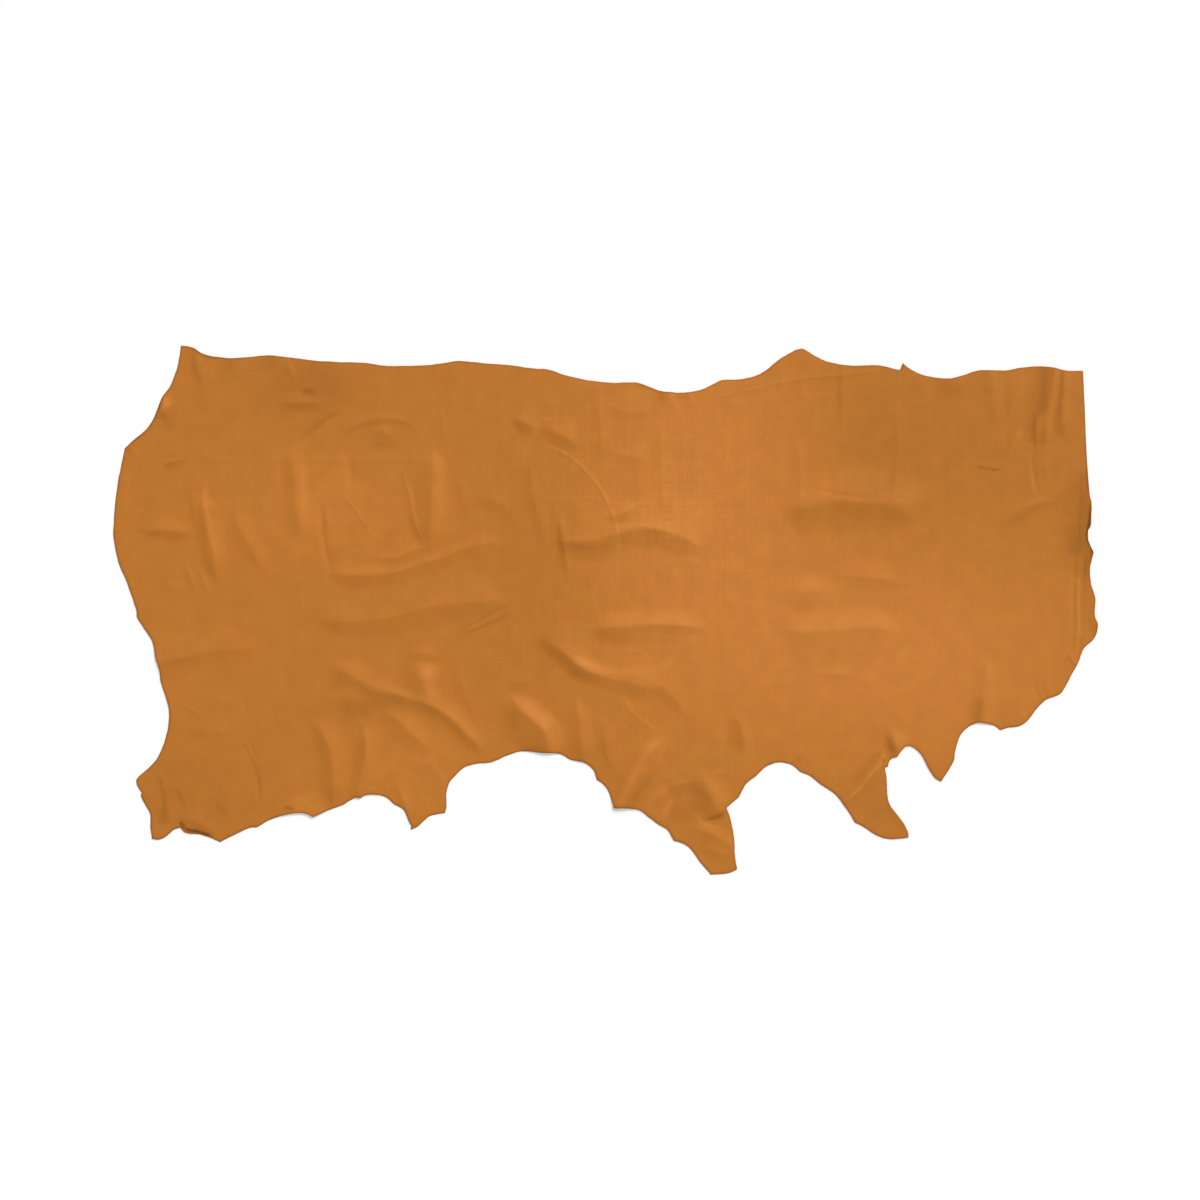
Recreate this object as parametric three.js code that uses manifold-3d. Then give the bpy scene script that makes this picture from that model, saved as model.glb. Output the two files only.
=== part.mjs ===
// Leather side: half of a tanned cow hide, split along the backbone and laid grain side up.
// Millimetres, +Z up. The origin is on the resting surface below the middle of the side,
// +X runs from the butt to the neck and +Y runs from the belly to the backbone.

import * as THREE from 'three';
import { mergeVertices } from 'three/addons/utils/BufferGeometryUtils.js';
import Module from 'manifold-3d';

const wasm = await Module();
wasm.setup();

// Driving sizes
const THICKNESS = 2;          // full thickness leather, about 5 ounces to the square foot
const SHEET_SIDE = 2432;      // square that the side is cut from
const SHEET_CELLS = 128;      // a power of two, cells along the square where the folds are finest
const FOLD_ACCURACY = 0.5;    // most that the facets may miss a fold by
const EDGE_CHORD = 17;        // longest straight chord along the cut edge
const FOLD_CHORD = 12;        // step along a fold's crest
const FOLD_FADE = 70;         // length over which a fold dies out at each end
const END_WIDTH = 0.4;        // width of a fold at its ends, as a share of its own
const LONG_FLANK_POWER = 1.7; // how hollow a fold's long flank is
const SHORT_FLANK_POWER = 1.35; // and its short one
const KNIFE_REACH = 50;       // how far the cutting prism goes above and below

const LEATHER = { color: 0xbd7733, roughness: 0.55, metalness: 0 };

// The cut edge, clockwise from the tip of the butt at the backbone. Each stretch is one smooth
// line between two sharp corners, and starts where the stretch before it ends.
const EDGE_STRETCHES = [
  { name: 'backbone', points: [
    [-955, 595], [-944, 594], [-924, 589], [-912, 580], [-890, 572], [-849, 567], [-800, 569],
    [-757, 573], [-710, 568], [-642, 560], [-575, 557], [-543, 556], [-503, 550], [-451, 549],
    [-388, 552], [-330, 560], [-271, 555], [-219, 551], [-168, 544], [-129, 541], [-100, 531],
    [-51, 519], [15, 511], [71, 511], [100, 501], [123, 493], [168, 489], [213, 495],
    [240, 507], [261, 517], [303, 519], [348, 531], [370, 546], [393, 565], [406, 573], [431, 586],
    [444, 588], [467, 574], [503, 558], [550, 550], [618, 550], [651, 542], [663, 540]] },
  { name: 'nick in the backbone', points: [[663, 540], [669, 556]] },
  { name: 'withers', points: [
    [669, 556], [676, 549], [703, 533], [730, 525], [775, 521], [811, 530], [840, 539],
    [899, 539], [942, 546], [978, 548], [1011, 544], [1041, 538], [1074, 538]] },
  { name: 'neck cut', points: [[1074, 538], [1083, 360], [1089, 254]] },
  { name: 'neck end', points: [
    [1089, 254], [1092, 245], [1091, 202], [1090, 189], [1085, 180], [1085, 158], [1097, 130]] },
  { name: 'neck', points: [
    [1097, 130], [1090, 99], [1092, 58], [1101, 27], [1101, -18], [1106, -29], [1107, -39], [1105, -52],
    [1097, -67], [1081, -81], [1074, -90], [1063, -119], [1047, -149], [1036, -169],
    [1023, -188], [1012, -194], [991, -202], [972, -220], [946, -252], [928, -262],
    [906, -264], [888, -270]] },
  { name: 'throat', points: [
    [888, -270], [876, -261], [854, -255], [836, -254], [816, -263], [798, -283], [788, -312],
    [784, -338]] },
  { name: 'throat point', points: [[784, -338], [770, -361], [755, -386]] },
  { name: 'throat bay', points: [
    [755, -386], [741, -378], [728, -358], [708, -323], [687, -306], [676, -306], [656, -330]] },
  { name: 'cheek corner', points: [[656, -330], [645, -333], [638, -341], [635, -352], [628, -355]] },
  { name: 'cheek', points: [
    [628, -355], [632, -374], [633, -400], [636, -427], [641, -440], [665, -473], [681, -500],
    [682, -512]] },
  { name: 'cheek end', points: [
    [682, -512], [656, -515], [632, -514], [608, -506], [584, -490], [561, -478]] },
  { name: 'gullet', points: [
    [561, -478], [543, -449], [516, -414], [482, -391], [460, -373], [437, -363], [418, -348],
    [386, -343], [362, -352]] },
  { name: 'behind the shank', points: [
    [362, -352], [343, -369], [314, -394], [300, -421], [287, -432], [273, -445]] },
  { name: 'shank back', points: [[273, -445], [283, -478], [289, -510], [291, -550], [296, -583]] },
  { name: 'shank end', points: [[296, -583], [278, -591], [257, -594], [237, -595]] },
  { name: 'shank front', points: [[237, -595], [212, -566], [190, -536], [172, -524], [154, -519]] },
  { name: 'elbow', points: [
    [154, -519], [139, -494], [120, -483], [92, -462], [76, -450], [60, -447], [19, -446]] },
  { name: 'brisket', points: [[19, -446], [6, -407], [-4, -393], [-20, -382]] },
  { name: 'belly', points: [
    [-20, -382], [-27, -360], [-49, -343], [-80, -336], [-101, -324], [-143, -321], [-190, -318],
    [-224, -328], [-256, -342], [-284, -345], [-316, -353], [-337, -371], [-351, -388],
    [-358, -414], [-358, -444], [-361, -457]] },
  { name: 'flank flap', points: [[-361, -457], [-396, -464], [-421, -486], [-438, -494]] },
  { name: 'flank', points: [
    [-438, -494], [-437, -485], [-444, -472], [-455, -449], [-476, -436], [-492, -422], [-514, -416],
    [-540, -416], [-551, -423], [-564, -422], [-588, -437], [-618, -448], [-658, -466]] },
  { name: 'stifle', points: [[-658, -466], [-675, -458], [-712, -459], [-755, -472], [-784, -489]] },
  { name: 'gaskin', points: [[-784, -489], [-800, -490], [-845, -511], [-867, -522]] },
  { name: 'hock', points: [[-867, -522], [-890, -512], [-912, -505], [-948, -500], [-957, -490]] },
  { name: 'hind shank', points: [[-957, -490], [-971, -494], [-989, -510], [-1005, -517], [-1020, -515]] },
  { name: 'hind leg', points: [
    [-1020, -515], [-1024, -486], [-1025, -457], [-1041, -429], [-1046, -416], [-1043, -411]] },
  { name: 'lower butt', points: [
    [-1043, -411], [-1054, -393], [-1056, -382], [-1040, -366], [-1011, -337], [-995, -304],
    [-984, -264], [-982, -230], [-989, -196], [-1001, -159], [-1003, -136], [-1013, -105],
    [-1020, -68], [-1036, -45], [-1054, -16]] },
  { name: 'butt', points: [
    [-1054, -16], [-1055, -2], [-1065, 29], [-1080, 70], [-1095, 106], [-1105, 150],
    [-1107, 172], [-1100, 265], [-1092, 311], [-1081, 364]] },
  { name: 'tail head', points: [
    [-1081, 364], [-1061, 383], [-1034, 405], [-1016, 433], [-996, 481], [-980, 502],
    [-965, 540], [-957, 576], [-955, 595]] },
];

// Folds that lift the leather off the surface. A crest is walked with its long flank on the left
// and its short flank on the right, and is rounded over to both sides by its rounding. A crest may
// start or end past the cut edge.
const FOLDS = [
  { name: 'shoulder fold', long: 105, short: 45, height: 7, rounding: 3,
    crest: [[-125, 160], [-30, 155], [40, 175], [80, 180], [120, 180], [155, 170], [190, 155],
      [230, 130]] },
  { name: 'shoulder crease', long: 25, short: 20, height: 4, rounding: 2.5,
    crest: [[-15, 205], [30, 215], [60, 230], [90, 250]] },
  { name: 'shoulder roll', long: 40, short: 40, height: 5, rounding: 3,
    crest: [[-50, -50], [15, -40], [80, -35], [170, -35], [240, -40]] },
  { name: 'neck fold', long: 80, short: 60, height: 7.2, rounding: 8,
    crest: [[385, 225], [470, 235], [515, 245], [575, 245], [620, 240], [665, 225], [710, 195]] },
  { name: 'neck ripple', long: 40, short: 30, height: 2.6, rounding: 4,
    crest: [[495, 80], [585, 75], [630, 70], [690, 50]] },
  { name: 'neck patch', long: 45, short: 60, height: 2.6, rounding: 8,
    crest: [[395, 40], [440, 40], [490, 40], [530, 50]] },
  { name: 'neck roll', long: 50, short: 80, height: 5.2, rounding: 4,
    crest: [[385, -45], [450, -50], [540, -45], [590, -40], [670, -45]] },
  { name: 'elbow fold', long: 85, short: 35, height: 5, rounding: 4,
    crest: [[-160, -60], [-105, -85], [-80, -105], [-55, -125], [-30, -140], [0, -150], [45, -160],
      [90, -170], [130, -185]] },
  { name: 'elbow knuckle', long: 35, short: 40, height: 4.8, rounding: 5,
    crest: [[-115, -80], [-80, -105], [-55, -125], [-30, -140], [0, -150]] },
  { name: 'elbow roll', long: 40, short: 20, height: 2.6, rounding: 5,
    crest: [[80, -155], [110, -165], [140, -185], [170, -220], [190, -250]] },
  { name: 'loin crease', long: 45, short: 25, height: 4, rounding: 4,
    crest: [[-220, 430], [-190, 425], [-150, 400]] },
  { name: 'loin crease 2', long: 45, short: 30, height: 4.5, rounding: 4,
    crest: [[-150, 415], [-115, 400], [-80, 380], [-50, 360]] },
  { name: 'loin hollow', long: 30, short: 20, height: 2.4, rounding: 3,
    crest: [[-760, 470], [-700, 465], [-625, 470]] },
  { name: 'upper rib fold', long: 20, short: 30, height: 3, rounding: 2.5,
    crest: [[-640, 85], [-585, 80], [-530, 80], [-485, 85], [-440, 95], [-395, 110], [-360, 120],
      [-325, 135], [-280, 150]] },
  { name: 'rib swell', long: 30, short: 60, height: 2.6, rounding: 4,
    crest: [[-345, 130], [-300, 145], [-260, 150], [-215, 155]] },
  { name: 'lower rib fold', long: 70, short: 40, height: 4, rounding: 2.5,
    crest: [[-660, -20], [-610, -25], [-550, -25], [-460, -10], [-395, 5], [-325, 15], [-260, 20],
      [-210, 30]] },
  { name: 'hip fold', long: 55, short: 40, height: 3, rounding: 2.5,
    crest: [[-1090, -145], [-1000, -120], [-935, -105], [-880, -90], [-775, -85]] },
  { name: 'butt fold', long: 30, short: 25, height: 3.2, rounding: 4,
    crest: [[-1070, 180], [-1005, 180], [-970, 180], [-940, 175], [-915, 155]] },
  { name: 'rump ridge', long: 40, short: 30, height: 4.4, rounding: 4,
    crest: [[-910, 290], [-905, 240], [-895, 180], [-885, 130], [-870, 45]] },
  { name: 'hip ridge', long: 35, short: 30, height: 3, rounding: 5,
    crest: [[-845, 250], [-815, 175], [-780, 110], [-765, 70]] },
  { name: 'front of the hip', long: 45, short: 30, height: 4.4, rounding: 5,
    crest: [[-710, 375], [-700, 290], [-690, 200], [-690, 150]] },
  { name: 'loin ridge', long: 40, short: 40, height: 5.4, rounding: 3.5,
    crest: [[-390, 380], [-390, 280], [-395, 180], [-395, 120]] },
  { name: 'stifle fold', long: 45, short: 45, height: 4.2, rounding: 5,
    crest: [[-630, -115], [-575, -145], [-540, -165], [-505, -180], [-435, -200]] },
  { name: 'stifle fold 2', long: 40, short: 25, height: 4.6, rounding: 3,
    crest: [[-505, -180], [-435, -200], [-405, -210], [-350, -240], [-305, -285], [-265, -335]] },
  { name: 'stifle brace', long: 30, short: 40, height: 2, rounding: 4,
    crest: [[-560, -160], [-525, -180], [-415, -210]] },
  { name: 'stifle knuckle', long: 60, short: 40, height: 6, rounding: 8,
    crest: [[-425, -110], [-415, -150], [-405, -180], [-390, -205]] },
  { name: 'stifle hollow', long: 30, short: 45, height: 3, rounding: 5,
    crest: [[-640, -200], [-560, -205], [-520, -215]] },
  { name: 'stifle crease', long: 25, short: 35, height: 3, rounding: 3,
    crest: [[-520, -225], [-465, -250], [-445, -270], [-420, -295], [-375, -325]] },
  { name: 'flank fold', long: 40, short: 65, height: 9.5, rounding: 5,
    crest: [[-225, -180], [-190, -225], [-160, -250], [-140, -270], [-130, -305], [-135, -360]] },
  { name: 'belly pleat', long: 30, short: 30, height: 4, rounding: 6,
    crest: [[-75, -180], [-65, -215], [-55, -295], [-50, -370]] },
  { name: 'belly pleat 2', long: 35, short: 20, height: 2, rounding: 4,
    crest: [[-10, -215], [-5, -250], [10, -360]] },
  { name: 'back thigh fold', long: 40, short: 30, height: 4.6, rounding: 4,
    crest: [[-675, -245], [-640, -270], [-625, -295], [-615, -330], [-610, -460]] },
  { name: 'front thigh fold', long: 45, short: 25, height: 5.2, rounding: 3,
    crest: [[-545, -235], [-540, -320], [-545, -365], [-570, -460]] },
  { name: 'hind shank roll', long: 45, short: 25, height: 2.5, rounding: 4,
    crest: [[-980, -450], [-910, -480], [-855, -510]] },
  { name: 'elbow ridge', long: 25, short: 50, height: 7, rounding: 5,
    crest: [[5, -500], [30, -445], [70, -360], [95, -325], [145, -285]] },
  { name: 'shank fold', long: 45, short: 45, height: 5.5, rounding: 7,
    crest: [[205, -360], [230, -405], [250, -440], [280, -485]] },
  { name: 'shank roll', long: 25, short: 50, height: 3, rounding: 3,
    crest: [[180, -490], [215, -495], [245, -505], [270, -520], [300, -555]] },
  { name: 'cheek fold', long: 55, short: 20, height: 3, rounding: 3,
    crest: [[520, -455], [545, -425], [600, -365], [620, -340], [640, -295]] },
  { name: 'armpit', long: 35, short: 25, height: 5, rounding: 4,
    crest: [[635, -250], [650, -295], [675, -365]] },
  { name: 'throat fold', long: 35, short: 30, height: 4, rounding: 6,
    crest: [[860, -90], [855, -160], [850, -205], [845, -305]] },
  { name: 'poll fold', long: 15, short: 45, height: 6.5, rounding: 2.5,
    crest: [[1015, 610], [1005, 500], [995, 435], [985, 345]] },
  { name: 'poll crease', long: 25, short: 25, height: 3.6, rounding: 3,
    crest: [[1035, 595], [1030, 495], [1030, 430], [1040, 365]] },
  { name: 'raised neck end', long: 85, short: 25, height: 9, rounding: 10,
    crest: [[1125, 50], [1110, 120], [1105, 180], [1110, 295], [1125, 365]] },
];

/** Points along a smooth line through the given ones, no further apart than chord. */
function smoothLine(points, chord) {
  const curve = new THREE.CatmullRomCurve3(
    points.map(([x, y]) => new THREE.Vector3(x, y, 0)), false, 'centripetal');
  const line = [];
  for (let i = 0; i < points.length - 1; i += 1) {
    const [x0, y0] = points[i];
    const [x1, y1] = points[i + 1];
    const steps = Math.max(1, Math.ceil(Math.hypot(x1 - x0, y1 - y0) / chord));
    for (let k = 0; k < steps; k += 1) {
      line.push(curve.getPoint((i + k / steps) / (points.length - 1)));
    }
  }
  line.push(curve.getPoint(1));
  return line;
}

/** The whole cut edge as one closed shape. */
function cutShape() {
  const edge = EDGE_STRETCHES.flatMap(({ points }) => smoothLine(points, EDGE_CHORD).slice(0, -1));
  return new THREE.Shape(edge.map(({ x, y }) => new THREE.Vector2(x, y)));
}

/** A fold with its crest as a line of short steps and the distance run at each step. */
function measuredFold(fold) {
  const line = smoothLine(fold.crest, FOLD_CHORD);
  const run = [0];
  for (let i = 1; i < line.length; i += 1) {
    run.push(run[i - 1] + line[i].distanceTo(line[i - 1]));
  }
  return { ...fold, line, run };
}

/** How far one fold lifts the leather at x, y. */
function foldLift({ line, run, long, short, height, rounding }, x, y) {
  const length = run[run.length - 1];
  const nearest = { distance: Infinity, onLeft: false, place: 0 };
  for (let i = 1; i < line.length; i += 1) {
    const start = line[i - 1];
    const step = run[i] - run[i - 1];
    const alongX = (line[i].x - start.x) / step;
    const alongY = (line[i].y - start.y) / step;
    const reach = (x - start.x) * alongX + (y - start.y) * alongY;
    const along = THREE.MathUtils.clamp(reach, 0, step);
    const distance = Math.hypot(x - start.x - along * alongX, y - start.y - along * alongY);
    if (distance < nearest.distance) {
      nearest.distance = distance;
      nearest.onLeft = (y - start.y) * alongX - (x - start.x) * alongY > 0;
      nearest.place = run[i - 1] + along;
    }
  }
  const fromEnd = Math.min(nearest.place, length - nearest.place);
  const fade = THREE.MathUtils.smoothstep(fromEnd, 0, Math.min(FOLD_FADE, length / 2));
  const width = (nearest.onLeft ? long : short) * THREE.MathUtils.lerp(END_WIDTH, 1, fade);
  const share = (Math.hypot(nearest.distance, rounding) - rounding) / width;
  const power = nearest.onLeft ? LONG_FLANK_POWER : SHORT_FLANK_POWER;
  return height * fade * Math.max(0, 1 - share) ** power;
}

const folds = FOLDS.map(measuredFold);

/** Height of the leather's underside above the surface it lies on. */
function relief(x, y) {
  return folds.reduce((sum, fold) => sum + foldLift(fold, x, y), 0);
}

/**
 * Triangles of a square of SHEET_CELLS cells a side, halved again and again wherever a flat
 * triangle would miss the folds by more than FOLD_ACCURACY. Both triangles on an edge are halved
 * at the same point, so the surface has no cracks. Points are named by their column and row.
 */
function foldedTriangles(heightAt) {
  const misses = new Map();
  const middleOf = ([i0, j0], [i1, j1]) => [(i0 + i1) / 2, (j0 + j1) / 2];
  const onLattice = ([i, j]) => Number.isInteger(i) && Number.isInteger(j)
    && Math.min(i, j) >= 0 && Math.max(i, j) <= SHEET_CELLS;
  const largestMiss = (a, b) => {
    const middle = middleOf(a, b);
    if (!onLattice(middle)) {
      return 0;
    }
    if (!misses.has(`${middle}`)) {
      const [halfI, halfJ] = [middle[0] - a[0], middle[1] - a[1]];
      const apexes = [[middle[0] - halfJ, middle[1] + halfI], [middle[0] + halfJ, middle[1] - halfI]];
      const below = apexes.flatMap((apex) => [largestMiss(a, apex), largestMiss(b, apex)]);
      const own = Math.abs(heightAt(middle) - (heightAt(a) + heightAt(b)) / 2);
      misses.set(`${middle}`, Math.max(own, ...below));
    }
    return misses.get(`${middle}`);
  };
  const triangles = [];
  const halve = (a, b, apex) => {
    if (largestMiss(a, b) > FOLD_ACCURACY) {
      const middle = middleOf(a, b);
      halve(apex, a, middle);
      halve(b, apex, middle);
    } else {
      triangles.push([a, b, apex]);
    }
  };
  const last = SHEET_CELLS;
  halve([0, 0], [last, last], [0, last]);
  halve([last, last], [0, 0], [last, 0]);
  return triangles;
}

/** A closed square sheet of the leather's thickness, lifted by the folds. */
function foldedSheet() {
  const place = (step) => (step / SHEET_CELLS - 0.5) * SHEET_SIDE;
  const heights = new Map();
  const heightAt = ([i, j]) => {
    if (!heights.has(`${[i, j]}`)) {
      heights.set(`${[i, j]}`, relief(place(i), place(j)));
    }
    return heights.get(`${[i, j]}`);
  };
  const numbers = new Map();
  const positions = [];
  const number = (point) => {
    if (!numbers.has(`${point}`)) {
      numbers.set(`${point}`, positions.length / 3);
      const [x, y] = [place(point[0]), place(point[1])];
      positions.push(x, y, heightAt(point), x, y, heightAt(point) + THICKNESS);
    }
    return numbers.get(`${point}`);
  };
  const faces = [];
  const openEdges = new Map();
  for (const triangle of foldedTriangles(heightAt)) {
    const [a, b, c] = triangle.map(number);
    faces.push(c, b, a, a + 1, b + 1, c + 1);
    for (const [from, to] of [[a, b], [b, c], [c, a]]) {
      if (!openEdges.delete(`${to},${from}`)) {
        openEdges.set(`${from},${to}`, [from, to]);
      }
    }
  }
  for (const [from, to] of openEdges.values()) {
    faces.push(from, to, to + 1, from, to + 1, from + 1);
  }
  const geometry = new THREE.BufferGeometry();
  geometry.setAttribute('position', new THREE.Float32BufferAttribute(positions, 3));
  geometry.setIndex(faces);
  return geometry;
}

/** A closed geometry as a manifold-3d solid. */
function toSolid(geometry) {
  const bare = geometry.clone();
  bare.deleteAttribute('normal');
  bare.deleteAttribute('uv');
  const merged = mergeVertices(bare);
  return new wasm.Manifold(new wasm.Mesh({
    numProp: 3,
    vertProperties: Float32Array.from(merged.attributes.position.array),
    triVerts: Uint32Array.from(merged.index.array),
  }));
}

/** A manifold-3d solid as a geometry. */
function toGeometry(solid) {
  const { vertProperties, triVerts } = solid.getMesh();
  const geometry = new THREE.BufferGeometry();
  geometry.setAttribute('position', new THREE.Float32BufferAttribute(vertProperties, 3));
  geometry.setIndex([...triVerts]);
  geometry.computeVertexNormals();
  return geometry;
}

/** The leather side: the folded sheet, cut to shape from above like hide with a knife. */
function leatherSide() {
  const shape = cutShape();
  const knife = new THREE.ExtrudeGeometry(shape, { depth: 2 * KNIFE_REACH, bevelEnabled: false });
  knife.translate(0, 0, -KNIFE_REACH);
  const cut = toSolid(foldedSheet()).intersect(toSolid(knife));
  const mesh = new THREE.Mesh(toGeometry(cut), new THREE.MeshStandardMaterial(LEATHER));
  mesh.name = 'leather_side';
  return mesh;
}

const side = new THREE.Group();
side.add(leatherSide());

export default side;
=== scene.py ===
"""Looks of the leather side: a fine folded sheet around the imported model, its leather and light."""

import math

import bmesh
import bpy
import numpy as np
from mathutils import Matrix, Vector, kdtree, noise
from mathutils.geometry import delaunay_2d_cdt


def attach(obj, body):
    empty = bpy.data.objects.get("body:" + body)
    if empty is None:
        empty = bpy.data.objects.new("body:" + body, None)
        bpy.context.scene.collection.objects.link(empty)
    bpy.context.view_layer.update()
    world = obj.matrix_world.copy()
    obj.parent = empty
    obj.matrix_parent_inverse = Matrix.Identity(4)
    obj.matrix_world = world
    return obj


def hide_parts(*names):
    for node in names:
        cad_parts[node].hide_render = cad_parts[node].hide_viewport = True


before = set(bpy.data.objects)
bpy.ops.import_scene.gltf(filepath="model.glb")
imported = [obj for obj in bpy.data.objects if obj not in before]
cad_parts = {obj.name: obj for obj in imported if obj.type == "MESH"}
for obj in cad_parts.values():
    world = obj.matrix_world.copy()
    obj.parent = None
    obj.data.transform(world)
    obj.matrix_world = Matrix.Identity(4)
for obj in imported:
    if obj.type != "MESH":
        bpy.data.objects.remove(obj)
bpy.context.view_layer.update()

MM = 0.001
TINY = 1e-12              # keeps a division by nothing from failing
SAME_PLACE = 1e-6         # points closer than this are one, in metres or millimetres alike
BATCH = 2000              # points measured against the edge at once

# The sheet, in millimetres
THICKNESS = 2.0
GRAIN_STEP = 6.6          # spacing of the points on the grain side
FLESH_STEP = 15.0         # and on the flesh side
ROW_SPACING = 0.866       # from row to row of either, as a share of its own spacing
EDGE_STEP = 5.0           # spacing of the points along the cut edge
EDGE_INSETS = (1.2, 4.0)  # rows of points just inside the cut edge
INSET_KEPT = 0.85         # share of its inset that a point in a row is at least from the edge
EDGE_ROUNDING = 0.5       # how far the knife's edge is rubbed down
EDGE_BULGE = 0.2          # how far the middle of the cut edge stands out
EDGE_WAVES = ((0.8, 26.0, 0.0), (0.45, 9.0, 5.0))  # height, length and noise layer of its raggedness
STEADY_SHARE = 0.3        # how much of that the straight neck cut has
STRAIGHT_SLACK = 0.05     # a point closer than this to the line between its neighbours is left out
CORNER_TURN = math.radians(28)  # the edge is curved where the solid's turns less than this
TOP_FACE = 0.5            # a face whose normal rises more than this is on top of the solid
NECK_CUT_X, NECK_CUT_Y = 1070.0, 250.0  # beyond both, the edge is the straight cut at the neck

# Folds, in millimetres
CREST_STEP = 6.0          # step along a crest
CREST_ROWS = (0.0, -2.0, 2.0, -5.0, 5.0)  # rows of sheet points beside each crest
CREST_SPACING = 2.4       # one of those points is kept in each square of this size
CREST_MARGIN = 1.5        # how far they stay inside the innermost row
CREST_CLEARANCE = 0.55    # how far the grid stays from them, as a share of GRAIN_STEP
FADE = 70.0               # length over which a fold dies out at each end
END_WIDTH = 0.4           # width of a fold at its ends, as a share of its own
LIGHT_POWER = 1.7         # how hollow the long flank is
LEE_POWER = 1.35          # and the short one
WANDER = (3.5, 75.0)      # how far the crests stray, and over what length
UNEVEN = (0.22, 85.0)     # how much a fold's height varies along it, and over what length
SWELLS = ((1.3, 300.0), (0.45, 110.0), (0.16, 45.0))  # height and length of the gentle waves
WANDER_LAYERS = (11.0, 23.0)  # noise layers of the shift along X and along Y
UNEVEN_LAYER = 31.0       # and of the folds' uneven height
MARK_REACH = 3.0          # half widths to either side within which a mark shows

GRAIN, CUT_EDGE, FLESH = range(3)  # material slots of the sheet

# Colours, linear
GRAIN_COLOUR = (0.518, 0.182, 0.0262)
PALE_SHEEN_COLOUR = (0.518, 0.184, 0.0335)  # bluer colour of the lightest grain, a painted whitish sheen, before it is lightened
RIM_COLOUR = (0.38, 0.10, 0.002)     # of the grain where it meets the cut edge
EDGE_COLOUR = (0.36, 0.115, 0.012)
FLESH_COLOUR = (0.52, 0.24, 0.075)
PALE_FROM, PALE_TO = 0.97, 1.12       # tone over which the grain turns to its pale colour of painted sheen
RIM_FROM, RIM_TO = 1.5, 5.5           # millimetres from the edge over which the rim colour fades
RIM_SHARE = 0.6                       # how much of it shows at the edge

# Noise in the materials: the share it adds, patch size in millimetres, detail, roughness, and how
# closely it follows each axis
EVEN = (1.0, 1.0, 1.0)
MOTTLE = (0.20, 42.0, 3.0, 0.5, EVEN)
UPRIGHT_STREAKS = (0.09, 9.0, 1.0, 0.5, (1.0, 0.045, 1.0))
LEVEL_STREAKS = (0.08, 8.0, 1.0, 0.5, (0.05, 1.0, 1.0))
FINE_STREAKS = (0.13, 5.5, 3.0, 0.5, (1.0, 0.6, 1.0))
GLOSS = (0.16, 30.0, 3.0, 0.5, EVEN)
EDGE_LAYERS = (1.1, 1.6, 3.0, 0.7, (0.35, 0.35, 4.0))
NAP = (0.6, 3.0, 5.0, 0.65, (1.0, 0.5, 1.0))
STREAKS_LEAST, STREAKS_BRUSHED = 0.42, 1.1  # strength of the streaks, and what full brushing adds
PEBBLES, WRINKLING = 720.0, 160.0  # noise scales per metre of the grain's fine pattern
PEBBLE_HEIGHT = 0.35      # of the pebbles, as a share of the wrinkling's

# Surfaces: roughness, specular level, and the strength and depth in metres of the bumps
GRAIN_SURFACE = (0.50, 0.12, 0.55, 0.0006)
EDGE_SURFACE = (0.8, 0.2, 0.8, 0.0005)
FLESH_SURFACE = (0.95, 0.15, 0.9, 0.0012)
FLESH_SHEEN = 0.25

# Light and view, in metres and radians
KEY_SHARE = 0.68          # of the light on a level surface, the rest is fill
FILL = 0.32               # light from all round
KEY_ELEVATION = math.radians(40)
KEY_AZIMUTH = math.radians(57)
KEY_SPREAD = math.radians(25)
LENS = 90.0               # millimetres
VIEW_WIDTH = 2.7          # what the camera sees from side to side
VIEW_CENTRE = (-0.0124, 0.0225)
FLOOR_COLOUR = 0.6        # the floor's own grey
FLOOR_LIFT = 0.4          # and the glow that makes it look white
FLOOR_HALF = 15.0         # half its width
FLOOR_Z = -0.0002         # just under the leather

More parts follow.
